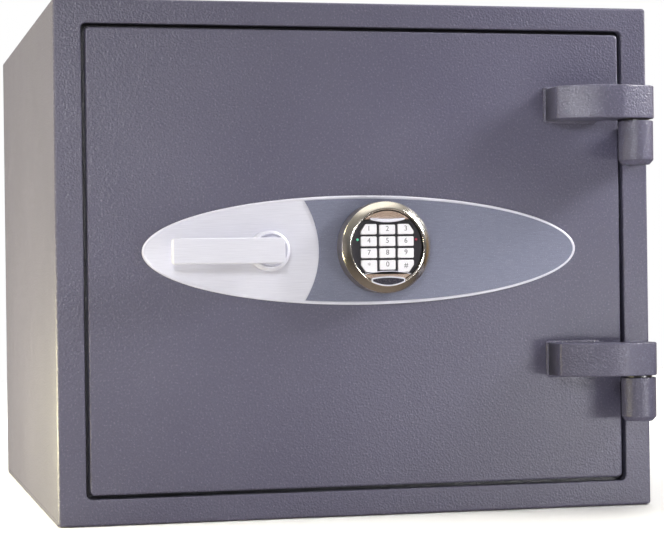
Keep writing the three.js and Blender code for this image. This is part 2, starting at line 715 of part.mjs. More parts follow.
add("front_frame", frontFrame(), painted);
add("jamb_ring", jambRing(), painted);
add("outer_wrap", outerWrap(), painted);
add("base_plate", basePlate(), painted);
add("back_plate", backPlate(), painted);
addBarriers();
add("inner_liner", innerLiner(), light_paint);
add("shelf", shelf(), light_paint);
add("shelf_bracket_left", shelfBracket(-1), light_paint);
add("shelf_bracket_right", shelfBracket(1), light_paint);
add("anchor_plug_left", anchorPlug(-1), dark_plastic);
add("anchor_plug_right", anchorPlug(1), dark_plastic);

for (const [place, armLow] of Object.entries(ARM_LOWS)) {
  add("hinge_knuckle_" + place, knuckle(armLow), painted);
  add("hinge_pin_" + place, hingePin(armLow), raw_steel);
  add("hinge_washer_" + place, hingeWasher(armLow), raw_steel);
}

const door = new THREE.Group();
safe.add(door);
add("door_plate", doorPlate(), painted, door);
for (const [place, armLow] of Object.entries(ARM_LOWS)) {
  add("hinge_arm_" + place, hingeArm(armLow), painted, door);
}
add("door_barrier", doorBarrier(), concrete, door);
add("boltwork_case", boltworkCase(), light_paint, door);
add("boltwork_cover", boltworkCover(), light_paint, door);
const [dogLow, dogHigh] = dogBoltHeights();
add("dog_bolt_lower", dogBolt(dogLow), raw_steel, door);
add("dog_bolt_upper", dogBolt(dogHigh), raw_steel, door);
add("lock_case", lockCase(), raw_steel, door);
add("trim_plate", trimPlate(), silver, door);
add("trim_insert", trimInsert(), { color: 0x86879a, roughness: 0.4, metalness: 0.4 }, door);
add("handle_rosette", handleRosette(), silver, door);
add("keypad_housing", keypadHousing(), chrome, door);
add("keypad_face", keypadFace(), dark_plastic, door);
add("keypad_visor", discSegment([KEYPAD_Z + VISOR_Z, HEIGHT], KEYPAD_HEIGHT - 2), chrome, door);
add("keypad_badge", discSegment([0, KEYPAD_Z + BADGE_Z], KEYPAD_HEIGHT - 2), chrome, door);
add("led_green", led(-1), { color: 0x57c99a, roughness: 0.3, metalness: 0 }, door);
add("led_red", led(1), { color: 0xb04a5c, roughness: 0.3, metalness: 0 }, door);

const handle = new THREE.Group();
door.add(handle);
add("handle_lever", handleLever(), silver, handle);
add("handle_spindle", handleSpindle(), raw_steel, handle);
add("drive_crank", driveCrank(), raw_steel, handle);

const boltwork = new THREE.Group();
door.add(boltwork);
add("bolt_carriage", boltCarriage(), raw_steel, boltwork);
const boltPlaces = ["lower", "middle", "upper"];
liveBoltHeights().forEach((z, index) => {
  add("live_bolt_" + boltPlaces[index], liveBolt(z), raw_steel, boltwork);
});
add("lock_latch", lockLatch(), raw_steel, door);
eachKey((name, column, row) => add(name, key(column, row), key_plastic, door));

export default safe;
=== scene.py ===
"""The looks of a cabinet safe: visible pieces, finishes, floor, light and camera round its CAD frame."""

import json
import math

import bmesh
import bpy
from mathutils import Matrix, Vector


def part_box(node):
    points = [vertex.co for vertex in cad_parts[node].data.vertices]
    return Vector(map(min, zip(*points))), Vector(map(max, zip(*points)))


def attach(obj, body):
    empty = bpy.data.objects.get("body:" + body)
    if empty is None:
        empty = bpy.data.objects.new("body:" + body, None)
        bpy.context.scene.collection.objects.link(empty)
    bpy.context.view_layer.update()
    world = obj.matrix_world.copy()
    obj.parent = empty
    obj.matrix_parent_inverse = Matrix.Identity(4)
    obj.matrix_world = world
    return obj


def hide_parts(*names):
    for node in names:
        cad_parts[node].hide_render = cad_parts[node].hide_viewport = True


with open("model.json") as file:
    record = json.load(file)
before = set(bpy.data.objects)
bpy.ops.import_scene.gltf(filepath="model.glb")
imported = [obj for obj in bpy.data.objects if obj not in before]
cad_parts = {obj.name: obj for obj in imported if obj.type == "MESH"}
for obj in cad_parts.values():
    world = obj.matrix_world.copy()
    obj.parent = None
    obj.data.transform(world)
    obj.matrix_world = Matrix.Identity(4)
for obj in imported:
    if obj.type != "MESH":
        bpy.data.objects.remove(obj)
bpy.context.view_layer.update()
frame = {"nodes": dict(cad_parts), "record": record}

MM = 0.001
FULL_TURN = 2 * math.pi
MERGE = 1e-7
WELD_DISTANCE = 1e-6
CORNER_STEPS = 6
MITRE_LIMIT = 0.3
AXES = {
    "X": lambda u, v, along: (along, u, v),
    "Y": lambda u, v, along: (u, along, v),
    "Z": lambda u, v, along: (u, v, along),
}


# Outlines and meshes ---------------------------------------------------------------------------------


def rounded(corners):
    """A closed outline through corners given as (u, v, radius), each turned on its radius."""
    outline = []
    for index, (u, v, radius) in enumerate(corners):
        here = Vector((u, v))
        if radius == 0:
            outline.append(here)
            continue
        before = (Vector(corners[index - 1][:2]) - here).normalized()
        after = (Vector(corners[(index + 1) % len(corners)][:2]) - here).normalized()
        half = before.angle(after) / 2
        centre = here + (before + after).normalized() * (radius / math.sin(half))
        start = here + before * (radius / math.tan(half)) - centre
        sweep = math.pi - 2 * half
        if before.x * after.y - before.y * after.x > 0:
            sweep = -sweep
        for step in range(CORNER_STEPS + 1):
            outline.append(centre + Matrix.Rotation(sweep * step / CORNER_STEPS, 2) @ start)
    return outline


def rectangle(low, high, radius):
    """A rectangle between two (u, v) corners with round corners, counter-clockwise."""
    (left, bottom), (right, top) = low, high
    corners = ((right, bottom), (right, top), (left, top), (left, bottom))
    return rounded([(u, v, radius) for u, v in corners])


def circle(centre, radius, count, start=0.0):
    return ellipse(centre, (radius, radius), count, start)


def ellipse(centre, radii, count, start=0.0):
    angles = [start + FULL_TURN * i / count for i in range(count)]
    return [Vector((centre[0] + radii[0] * math.cos(a), centre[1] + radii[1] * math.sin(a))) for a in angles]


def inset(outline, distance):
    """A counter-clockwise outline moved inwards by a distance, mitred at its corners."""
    moved = []
    for index, point in enumerate(outline):
        before = (point - outline[index - 1]).normalized()
        after = (outline[(index + 1) % len(outline)] - point).normalized()
        first, second = Vector((-before.y, before.x)), Vector((-after.y, after.x))
        moved.append(point + (first + second) * (distance / max(MITRE_LIMIT, 1 + first.dot(second))))
    return moved


def resampled(outline, spacing):
    """The outline with points added so that none are further apart than spacing."""
    points = []
    for index, point in enumerate(outline):
        following = outline[(index + 1) % len(outline)]
        pieces = max(1, math.ceil((following - point).length / spacing))
        points += [point.lerp(following, i / pieces) for i in range(pieces)]
    return points


def edges(start, end, round_start, round_end, steps=4):
    """(inset, position) pairs from start to end, with a quarter round at each end."""
    sign = 1 if end > start else -1
    quarter = [math.pi / 2 * i / steps for i in range(steps + 1)]
    first = [
        (round_start * (1 - math.sin(a)), start + sign * round_start * (1 - math.cos(a))) for a in quarter
    ]
    last = [(round_end * (1 - math.cos(a)), end - sign * round_end * (1 - math.sin(a))) for a in quarter]
    return (first if round_start else [(0, start)]) + (last if round_end else [(0, end)])


def loft(name, loops, closed=False):
    """A mesh through loops of equally many points, capped at both ends or closed on itself."""
    made = bmesh.new()
    rows = [[made.verts.new(point) for point in loop] for loop in loops]
    pairs = list(zip(rows, rows[1:]))
    if closed:
        pairs.append((rows[-1], rows[0]))
    for near, far in pairs:
        for i in range(len(near)):
            made.faces.new((near[i - 1], near[i], far[i], far[i - 1]))
    if not closed:
        made.faces.new(rows[0])
        made.faces.new(rows[-1])
    bmesh.ops.remove_doubles(made, verts=made.verts, dist=MERGE)
    bmesh.ops.dissolve_degenerate(made, edges=made.edges, dist=MERGE)
    bmesh.ops.recalc_face_normals(made, faces=made.faces)
    for face in made.faces:
        face.smooth = True
    mesh = bpy.data.meshes.new(name)
    made.to_mesh(mesh)
    made.free()
    return mesh


def slab(name, outline, axis, profile):
    """An outline made solid along an axis, following (inset, position) pairs."""
    place = AXES[axis]
    return loft(name, [[place(*point, along) for point in inset(outline, d)] for d, along in profile])


def ring(name, outer, inner, axis, outer_profile, inner_profile):
    """A solid between an outer and an inner outline of equally many points."""
    place = AXES[axis]
    loops = [[place(*point, along) for point in inset(outer, d)] for d, along in outer_profile]
    loops += [[place(*point, along) for point in inset(inner, -d)] for d, along in reversed(inner_profile)]
    return loft(name, loops, closed=True)


def turned(name, axis, centre, profile, steps=64, closed=False):
    """A profile of (radius, position) turned about an axis through centre."""
    place = AXES[axis]
    return loft(name, [[place(*p, along) for p in circle(centre, r, steps)] for r, along in profile], closed)


def piece(mesh, finish, body, nodes=()):
    """A new visible piece that rides on a body and stands for CAD nodes."""
    made = bpy.data.objects.new(mesh.name, mesh)
    bpy.context.scene.collection.objects.link(made)
    mesh.materials.append(finish)
    made.modifiers.new("even_normals", "WEIGHTED_NORMAL").keep_sharp = True
    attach(made, body)
    if nodes:
        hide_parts(*nodes)
    return made


# Finishes --------------------------------------------------------------------------------------------


NOISE_LOW, NOISE_HIGH = 0.3, 0.7
MIX_FIRST, MIX_SECOND, MIX_RESULT = 6, 7, 2


def add_node(tree, kind, sockets=None, **settings):
    """A shader node whose sockets are linked to other sockets or set to values."""
    made = tree.nodes.new(kind)
    for key, value in settings.items():
        setattr(made, key, value)
    for socket, value in (sockets or {}).items():
        if isinstance(value, bpy.types.NodeSocket):
            tree.links.new(value, made.inputs[socket])
        else:
            made.inputs[socket].default_value = value
    return made


class Finish:
    """A procedural material worked in object coordinates, so that its grain keeps its real size."""

    def __init__(self, name, **values):
        self.material = bpy.data.materials.new(name)
        self.material.use_nodes = True
        self.tree = self.material.node_tree
        self.shader = self.tree.nodes["Principled BSDF"]
        self.place = self.node("ShaderNodeTexCoord").outputs["Object"]
        for socket, value in values.items():
            self.shader.inputs[socket.replace("_", " ")].default_value = value

    def node(self, kind, sockets=None, **settings):
        return add_node(self.tree, kind, sockets, **settings)

    def stretched(self, scale, origin=(0, 0, 0)):
        """The coordinates measured from origin and multiplied by scale."""
        moved = self.node("ShaderNodeVectorMath", {0: self.place, 1: origin}, operation="SUBTRACT")
        made = self.node("ShaderNodeVectorMath", {0: moved.outputs[0], 1: scale}, operation="MULTIPLY")
        return made.outputs[0]

    def noise(self, size, detail=2.0, roughness=0.5, place=None):
        """Noise whose lumps are about size metres across."""
        sockets = {"Vector": place or self.place, "Scale": 1 / size}
        sockets.update(Detail=detail, Roughness=roughness)
        return self.node("ShaderNodeTexNoise", sockets).outputs[0]

    def cells(self, size, feature="SMOOTH_F1"):
        sockets = {"Vector": self.place, "Scale": 1 / size}
        return self.node("ShaderNodeTexVoronoi", sockets, feature=feature).outputs["Distance"]

    def span(self, value, low, high, to_low, to_high):
        """The value's range from low to high, spread over another range and held at its ends."""
        sockets = {"Value": value, "From Min": low, "From Max": high, "To Min": to_low, "To Max": to_high}
        return self.node("ShaderNodeMapRange", sockets).outputs[0]

    def spread(self, noise, to_low=0, to_high=1):
        """Noise, which mostly stays between its usual low and high, spread over a whole range."""
        return self.span(noise, NOISE_LOW, NOISE_HIGH, to_low, to_high)

    def mixed(self, share, first, second):
        """A colour between two, by share."""
        sockets = {"Factor": share, MIX_FIRST: first, MIX_SECOND: second}
        return self.node("ShaderNodeMix", sockets, data_type="RGBA").outputs[MIX_RESULT]

    def bump(self, height, distance, below=None):
        """A normal raised by distance metres where height is one, over another normal."""
        sockets = {"Height": height, "Distance": distance, "Strength": 1.0}
        if below:
            sockets["Normal"] = below
        return self.node("ShaderNodeBump", sockets).outputs[0]

    def use(self, **sockets):
        for socket, value in sockets.items():
            self.tree.links.new(value, self.shader.inputs[socket.replace("_", " ")])
        return self.material


def colour(red, green, blue):
    return (red, green, blue, 1.0)


def painted_steel(name, shade):
    """Violet-grey structured powder coat: millimetre grain, light flecks, dark pits and faint clouding."""
    finish = Finish(name, Metallic=0.0, IOR=1.5, Specular_IOR_Level=0.8)
    cloud = finish.noise(110 * MM, 3)
    grain = finish.noise(1.7 * MM, 2, 0.6)
    lumps = finish.cells(1.9 * MM)
    fleck = finish.span(grain, 0.56, 0.70, 0, 0.4)
    pit = finish.span(grain, 0.28, 0.44, 0.6, 0)

    # shade scales every tone; the jamb's copy at a quarter is painted shade for the gap round the door.
    def tone(red, green, blue):
        return colour(red * shade, green * shade, blue * shade)

    base = finish.mixed(finish.spread(cloud), tone(0.077, 0.073, 0.118), tone(0.087, 0.083, 0.132))
    base = finish.mixed(fleck, base, tone(0.24, 0.23, 0.31))
    base = finish.mixed(pit, base, tone(0.055, 0.05, 0.08))
    normal = finish.bump(grain, 0.4 * MM, finish.bump(lumps, 0.3 * MM))
    rough = finish.spread(cloud, 0.32, 0.38)
    return finish.use(Base_Color=base, Roughness=rough, Normal=normal)


def interior_paint():
    """Light grey smooth paint with a little orange peel."""
    finish = Finish("interior_paint", Metallic=0.0)
    cloud = finish.noise(60 * MM, 3)
    peel = finish.noise(2.2 * MM, 2)
    base = finish.mixed(finish.spread(cloud), colour(0.47, 0.48, 0.49), colour(0.53, 0.54, 0.55))
    rough = finish.spread(peel, 0.42, 0.56)
    return finish.use(Base_Color=base, Roughness=rough, Normal=finish.bump(peel, 0.07 * MM))


def barrier_fill():
    """Cast mineral fill: sand grains, a few dark stones and pinholes."""
    finish = Finish("barrier_fill", Metallic=0.0)
    sand = finish.noise(1.1 * MM, 4, 0.7)
    stones = finish.cells(7 * MM, "F1")
    base = finish.mixed(finish.spread(sand), colour(0.25, 0.245, 0.23), colour(0.44, 0.43, 0.41))
    base = finish.mixed(finish.span(stones, 0.12, 0.2, 0.5, 0), base, colour(0.16, 0.15, 0.15))
    rough = finish.spread(sand, 0.8, 0.95)
    return finish.use(Base_Color=base, Roughness=rough, Normal=finish.bump(sand, 0.35 * MM))


def bare_steel(name, stretch, shade=1.0):
    """Machined steel with fine tool lines across the given stretch of the coordinates."""
    finish = Finish(name, Metallic=1.0)
    lines = finish.noise(0.5 * MM, 3, 0.6, finish.stretched(stretch))
    smudge = finish.noise(18 * MM, 3)
    # shade below one gives a darkened copy, which the hinge washers use as painted shade.
    dull, bright = 0.50 * shade, 0.64 * shade
    base = finish.mixed(smudge, colour(dull, dull, dull), colour(bright, bright, bright))
    rough = finish.spread(lines, 0.24, 0.42)
    return finish.use(Base_Color=base, Roughness=rough, Normal=finish.bump(lines, 0.012 * MM))


def plug_rubber():
    finish = Finish("plug_rubber", Metallic=0.0)
    grain = finish.noise(0.6 * MM, 2)
    base = finish.mixed(grain, colour(0.018, 0.018, 0.02), colour(0.04, 0.04, 0.042))
    rough = finish.spread(grain, 0.6, 0.78)
    return finish.use(Base_Color=base, Roughness=rough, Normal=finish.bump(grain, 0.05 * MM))


def silver_trim(name, across):
    """Satin silver coating over brushed metal, whose lines run where across shrinks the coordinates."""
    finish = Finish(name, Metallic=0.35)
    brushed = finish.noise(0.45 * MM, 3, 0.65, finish.stretched(across))
    cloud = finish.noise(45 * MM, 2)
    base = finish.mixed(finish.spread(brushed), colour(0.67, 0.67, 0.76), colour(0.77, 0.77, 0.86))
    rough = finish.spread(cloud, 0.36, 0.46)
    return finish.use(Base_Color=base, Roughness=rough, Normal=finish.bump(brushed, 0.008 * MM))


def blue_grey_trim():
    """Blue-grey metallic lacquer with a fine fleck."""
    finish = Finish("blue_grey_trim", Metallic=0.3)
    brushed = finish.noise(0.5 * MM, 3, 0.6, finish.stretched((0.06, 1, 1)))
    fleck = finish.noise(0.7 * MM, 1)
    base = finish.mixed(finish.spread(brushed), colour(0.165, 0.175, 0.245), colour(0.21, 0.22, 0.30))
    base = finish.mixed(finish.span(fleck, 0.62, 0.75, 0, 0.6), base, colour(0.42, 0.43, 0.52))
    rough = finish.spread(fleck, 0.34, 0.46)
    return finish.use(Base_Color=base, Roughness=rough, Normal=finish.bump(brushed, 0.01 * MM))


def keypad_chrome(name, smooth, coarse, dull, bright):
    """Plated zinc with circular polishing lines about the keypad's centre, between two roughnesses."""
    finish = Finish(name, Metallic=1.0)
    from_centre = finish.stretched((1, 0, 1), (KEYPAD.x, 0, KEYPAD.z))
    radius = finish.node("ShaderNodeVectorMath", {0: from_centre}, operation="LENGTH").outputs["Value"]
    depth = finish.node("ShaderNodeSeparateXYZ", {0: finish.place}).outputs[1]
    rings_at = finish.node("ShaderNodeCombineXYZ", {0: radius, 1: depth}).outputs[0]
    rings = finish.noise(0.35 * MM, 3, 0.6, rings_at)
    streaks = finish.noise(5 * MM, 3)
    base = finish.mixed(streaks, dull, bright)
    rough = finish.spread(rings, smooth, coarse)
    return finish.use(Base_Color=base, Roughness=rough, Normal=finish.bump(rings, 0.006 * MM))


def moulded_plastic(name, dark, light, smooth, coarse, grain_size, height):
    """Moulded plastic with a spark-eroded grain, between two roughnesses."""
    finish = Finish(name, Metallic=0.0)
    grain = finish.noise(grain_size, 2)
    base = finish.mixed(finish.spread(grain), dark, light)
    rough = finish.spread(grain, smooth, coarse)
    return finish.use(Base_Color=base, Roughness=rough, Normal=finish.bump(grain, height))


def lamp_lens(name, dark, light, glow):
    finish = Finish(name, Emission_Strength=0.12, Emission_Color=glow)
    swirl = finish.noise(0.8 * MM, 2)
    base = finish.mixed(swirl, dark, light)
    rough = finish.spread(swirl, 0.12, 0.24)
    return finish.use(Base_Color=base, Roughness=rough, Normal=finish.bump(swirl, 0.01 * MM))


def pale_floor():
    finish = Finish("pale_floor", Metallic=0.0)
    cloud = finish.noise(0.4, 3)
    base = finish.mixed(cloud, colour(0.90, 0.90, 0.90), colour(0.94, 0.94, 0.94))
    rough = finish.spread(cloud, 0.6, 0.75)
    return finish.use(Base_Color=base, Roughness=rough)


def middle(node):
    low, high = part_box(node)
    return (low + high) / 2


KEYPAD = middle("keypad_housing")
PAINT = painted_steel("painted_steel", 1.0)
# The jamb ring's paint darkened to a quarter: painted shade for the dark gap round the door.
JAMB_PAINTED_SHADE = painted_steel("jamb_painted_shade", 0.25)
INTERIOR = interior_paint()
FILL = barrier_fill()
TURNED = bare_steel("turned_steel", (1, 0.05, 0.05))
GROUND = bare_steel("ground_steel", (0.05, 1, 1))
# Steel darkened to a quarter for the hinge washers: painted shade for the dark gap between arm and knuckle.
WASHER_STEEL_PAINTED_SHADE = bare_steel("washer_steel_painted_shade", (1, 1, 0.05), 0.25)
RUBBER = plug_rubber()
SILVER = silver_trim("silver_trim", (0.02, 1, 1))
SILVER_RING = silver_trim("silver_ring", (0.5, 0.5, 0.5))
BLUE_GREY = blue_grey_trim()
CHROME = keypad_chrome("keypad_chrome", 0.14, 0.24, colour(0.76, 0.71, 0.65), colour(0.90, 0.87, 0.81))
# A darker, browner copy of the chrome for the housing's outer wall: its roughness is real, its darker colour
# is painted shade for the dark surroundings it reflects.
SATIN_CHROME_PAINTED_SHADE = keypad_chrome("keypad_satin_painted_shade", 0.28, 0.42, colour(0.42, 0.36, 0.32), colour(0.54, 0.48, 0.43))
# Chrome tinted brown for the visor and the band under the keys: a painted reflection of brown surroundings.
CHROME_PAINTED_BROWN_REFLECTION = keypad_chrome("keypad_painted_brown_reflection", 0.24, 0.34, colour(0.62, 0.52, 0.46), colour(0.78, 0.67, 0.60))
DARK_FACE = moulded_plastic(
    "keypad_face", colour(0.018, 0.016, 0.022), colour(0.03, 0.028, 0.036), 0.4, 0.55, 0.5 * MM, 0.02 * MM
)
KEY_CAP = moulded_plastic(
    "key_caps", colour(0.66, 0.65, 0.69), colour(0.74, 0.73, 0.77), 0.32, 0.45, 0.5 * MM, 0.01 * MM
)
LEGEND = moulded_plastic(
    "key_legend", colour(0.06, 0.06, 0.07), colour(0.10, 0.10, 0.11), 0.5, 0.6, 0.3 * MM, 0.005 * MM
)
ENAMEL = moulded_plastic(
    "badge_enamel", colour(0.03, 0.028, 0.04), colour(0.05, 0.047, 0.06), 0.18, 0.3, 0.8 * MM, 0.01 * MM
)
GREEN = lamp_lens("led_green", colour(0.05, 0.45, 0.25), colour(0.2, 0.75, 0.5), colour(0.3, 1, 0.65))
RED = lamp_lens("led_red", colour(0.22, 0.02, 0.04), colour(0.4, 0.06, 0.1), colour(0.6, 0.08, 0.15))

CAD_FINISHES = {
    "painted_steel": PAINT,
    "bare_steel": GROUND,
    "barrier_fill": FILL,
    "interior_paint": INTERIOR,
    "plug_rubber": RUBBER,
    "silver_trim": SILVER,
    "blue_grey_trim": BLUE_GREY,
    "keypad_chrome": CHROME,
    "keypad_face": DARK_FACE,
    "key_caps": KEY_CAP,
    "led_green": GREEN,
    "led_red": RED,
}


def finish_cad_nodes():
    """Every CAD node gets its slot's finish, and the ones that show get softened edges."""
    softened_mm = {
        "jamb_ring": 0.8, "inner_liner": 0.4, "shelf": 0.5, "shelf_bracket_left": 0.3,
        "shelf_bracket_right": 0.3, "boltwork_case": 0.8, "boltwork_cover": 0.5, "door_barrier": 0.8,
        "lock_case": 0.8, "bolt_carriage": 0.5, "base_plate": 0.6, "keypad_face": 0.2,
        "anchor_plug_left": 0.4, "anchor_plug_right": 0.4,
    }
    sharpest_smooth = math.radians(40)
    # The jamb ring and the hinge washers take darkened copies of their finishes: painted shade for the gaps
    # they show in.
    special = {"jamb_ring": JAMB_PAINTED_SHADE, "hinge_washer_upper": WASHER_STEEL_PAINTED_SHADE, "hinge_washer_lower": WASHER_STEEL_PAINTED_SHADE}
    slots = {part["node"]: part["material_slot"] for part in frame["record"]["subparts"]}
    for name, node in frame["nodes"].items():
        node.material_slots[0].material = special.get(name, CAD_FINISHES[slots[name]])
        if name in softened_mm:
            node.modifiers.new("weld", "WELD").merge_threshold = WELD_DISTANCE
            bevel = node.modifiers.new("soft_edges", "BEVEL")
            bevel.width = softened_mm[name] * MM
            bevel.segments = 2
            bevel.angle_limit = sharpest_smooth


# Cabinet ---------------------------------------------------------------------------------------------


def flat(corner):
    """The (x, z) part of a point."""
    return (corner.x, corner.z)


def build_cabinet():
    low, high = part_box("front_frame")
    door_low, door_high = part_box("door_plate")
    gap = Vector((3.5, 0, 3.5)) * MM
    outer = rectangle(flat(low), flat(high), 3 * MM)
    opening = rectangle(flat(door_low - gap), flat(door_high + gap), 5 * MM)
    back, front = high.y, low.y
    back_edge, outer_edge, opening_edge = 0.3 * MM, 2.4 * MM, 1.2 * MM
    mesh = ring(
        "front_frame_panel", outer, opening, "Y",
        edges(back, front, back_edge, outer_edge, 5), edges(back, front, back_edge, opening_edge, 5),
    )
    piece(mesh, PAINT, "cabinet", ["front_frame"])

    low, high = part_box("outer_wrap")
    skin, fold, inner_fold, sheet_edge = 4 * MM, 3 * MM, 1 * MM, 0.4 * MM
    outline = rounded([
        (high.x, low.z, 0), (high.x, high.z, fold), (low.x, high.z, fold), (low.x, low.z, 0),
        (low.x + skin, low.z, 0), (low.x + skin, high.z - skin, inner_fold),
        (high.x - skin, high.z - skin, inner_fold), (high.x - skin, low.z, 0),
    ])
    mesh = slab("outer_wrap_sheet", outline, "Y", edges(low.y, high.y, sheet_edge, sheet_edge, 2))
    piece(mesh, PAINT, "cabinet", ["outer_wrap"])

    low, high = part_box("back_plate")
    outline = rectangle(flat(low), flat(high), fold)
    mesh = slab("back_sheet", outline, "Y", edges(low.y, high.y, sheet_edge, 1.8 * MM))
    piece(mesh, PAINT, "cabinet", ["back_plate"])


def build_hinge(place):
    """One hinge: the curved arm and its weld on the door, and the fixed knuckle below on the cabinet."""
    pin = middle("hinge_pin_" + place)
    arm_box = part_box("hinge_arm_" + place)
    weld = 2 * MM
    foot_right = 224 * MM
    build_hinge_arm(place, pin, arm_box, weld, foot_right)
    build_hinge_weld(place, arm_box, weld, foot_right)
    build_hinge_barrel(place, pin)


def build_hinge_arm(place, pin, arm_box, weld, foot_right):
    """The arm: a shoulder, a shallow bow to its crown, a round end on the pin line and a foot."""
    low, high = arm_box
    bottom, top = low.z + weld, high.z - weld
    back, left, crown = high.y, low.x + weld, low.y
    shoulder, crown_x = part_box("door_plate")[0].y - 31 * MM, 234 * MM
    rise, run = shoulder - crown, crown_x - left
    bow = (run * run + rise * rise) / (2 * rise)
    start = math.atan2(shoulder - crown - bow, left - crown_x)
    turn = -math.pi / 2 - start
    end_radius = high.x - pin.x
    bow_steps, end_steps = 12, 14
    end_start, end_sweep = -52, 142
    corners = [(left, back, 0), (left, shoulder, 3.5 * MM)]
    for step in range(1, bow_steps + 1):
        angle = start + turn * step / bow_steps
        corners.append((crown_x + bow * math.cos(angle), crown + bow + bow * math.sin(angle), 0))
    for step in range(end_steps + 1):
        angle = math.radians(end_start + end_sweep * step / end_steps)
        corners.append((pin.x + end_radius * math.cos(angle), pin.y + end_radius * math.sin(angle), 0))
    corners += [(foot_right, pin.y + end_radius, 6 * MM), (foot_right, back, 0)]
    edge = 1.3 * MM
    mesh = slab("hinge_arm_" + place + "_casting", rounded(corners), "Z", edges(bottom, top, edge, edge))
    piece(mesh, PAINT, "door", ["hinge_arm_" + place])


def build_hinge_weld(place, arm_box, weld, foot_right):
    """The rippled bead round the arm's foot, hollow towards the corner that it fills."""
    low, high = arm_box
    corner = 1.5 * MM
    foot = resampled(rectangle((low.x + weld, low.z + weld), (foot_right, high.z - weld), corner), 1.2 * MM)
    steps = 6
    hollow, height = 1.4, weld * 0.9
    ripple_height, ripple_pitch = 0.35 * MM, 1.9
    loops = []
    for step in range(steps + 1):
        angle = math.pi / 2 * step / steps
        out, up = weld * math.cos(angle) ** hollow, height * math.sin(angle)
        loop = []
        for index, point in enumerate(inset(foot, -out)):
            ripple = ripple_height * math.sin(index * ripple_pitch) * math.sin(angle)
            loop.append((point.x, high.y - up - ripple, point.y))
        loops.append(loop)
    piece(loft("hinge_weld_" + place, loops), PAINT, "door")


def build_hinge_barrel(place, pin):
    """The knuckle: a round barrel on the pin line with a flat web back to the frame, chamfered below."""
    low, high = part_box("hinge_knuckle_" + place)
    radius = pin.y - low.y
    web_left, web_right = 252 * MM, pin.x + radius - 1 * MM
    left_angle = math.acos((web_left - pin.x) / radius)
    right_angle = math.acos((web_right - pin.x) / radius)
    corners = [(web_right, high.y, 0), (web_left, high.y, 0)]
    sweep = FULL_TURN - left_angle + right_angle
    steps = 40
    for step in range(steps + 1):
        angle = left_angle + sweep * step / steps
        corners.append((pin.x + radius * math.cos(angle), pin.y + radius * math.sin(angle), 0))
    chamfer = 4 * MM
    profile = [
        (chamfer, low.z), (chamfer - 0.5 * MM, low.z + 0.1 * MM), (0.5 * MM, low.z + chamfer - 0.6 * MM),
        (0.1 * MM, low.z + chamfer), (0, low.z + chamfer + 0.6 * MM), (0, high.z - 0.8 * MM),
        (0.25 * MM, high.z - 0.25 * MM), (0.8 * MM, high.z),
    ]
    mesh = slab("hinge_barrel_" + place, rounded(corners), "Z", profile)
    piece(mesh, PAINT, "cabinet", ["hinge_knuckle_" + place])


# Door ------------------------------------------------------------------------------------------------

SPINDLE_HOLE = 8 * MM


def build_door():
    low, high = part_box("door_plate")
    spindle = middle("handle_spindle")
    outline = rectangle(flat(low), flat(high), 4 * MM)
    hole = circle((spindle.x, spindle.z), SPINDLE_HOLE, len(outline), -math.pi / 2)
    mesh = ring(
        "door_panel", outline, hole, "Y",
        edges(high.y, low.y, 0.5 * MM, 2 * MM, 5), edges(high.y, low.y, 0, 0),
    )
    piece(mesh, PAINT, "door", ["door_plate"])
    build_cover_screws()


def build_cover_screws():
    """Screws round the bolt-work cover, in three columns and three rows without the middle one."""
    low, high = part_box("boltwork_cover")
    margin = 12 * MM
    columns = [low.x + margin, 0, high.x - margin]
    rows = [low.z + margin, (low.z + high.z) / 2, high.z - margin]
    places = [(x, z) for x in columns for z in rows if (x, z) != (columns[1], rows[1])]
    for number, (x, z) in enumerate(places, 1):
        build_screw("cover_screw_%d" % number, x, z, high.y)


def build_screw(name, x, z, seat):
    """A button-head screw with a hexagon socket, facing the back."""
    count = 36
    head = [(4.0, 0), (4.0, 0.5), (3.7, 1.1), (3.1, 1.7), (2.4, 2.0), (1.9, 2.1)]
    socket_half_width, socket_heights = 1.4 * MM, (2.1, 0.7)
    side = math.pi / 3
    loops = [[(p.x, seat + h * MM, p.y) for p in circle((x, z), r * MM, count)] for r, h in head]
    for height in socket_heights:
        loop = []
        for i in range(count):
            angle = FULL_TURN * i / count
            reach = socket_half_width / math.cos(angle % side - side / 2)
            loop.append((x + reach * math.cos(angle), seat + height * MM, z + reach * math.sin(angle)))
        loops.append(loop)
    piece(loft(name, loops), GROUND, "door")


def build_bolts():
    """Three live bolts pointing left and two fixed ones pointing right, with chamfered, dimpled tips."""
    bolts = [("live_bolt_" + place, "boltwork", 1) for place in ("lower", "middle", "upper")]
    bolts += [("dog_bolt_" + place, "door", -1) for place in ("lower", "upper")]
    for name, body, inwards in bolts:
        low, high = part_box(name)
        radius = (high.z - low.z) / 2
        tip, root = (low.x, high.x) if inwards > 0 else (high.x, low.x)
        centre = ((low.y + high.y) / 2, (low.z + high.z) / 2)
        step = inwards * MM
        profile = [
            (1.2 * MM, tip + 1.4 * step), (1.8 * MM, tip), (radius - 2.2 * MM, tip),
            (radius - 0.6 * MM, tip + 1.2 * step), (radius, tip + 2.4 * step),
            (radius, root - 0.5 * step), (radius - 0.5 * MM, root),
        ]
        mesh = turned(name + "_bar", "X", centre, profile, 48)
        piece(mesh, TURNED, body, [name])


# Trim, handle and keypad -----------------------------------------------------------------------------


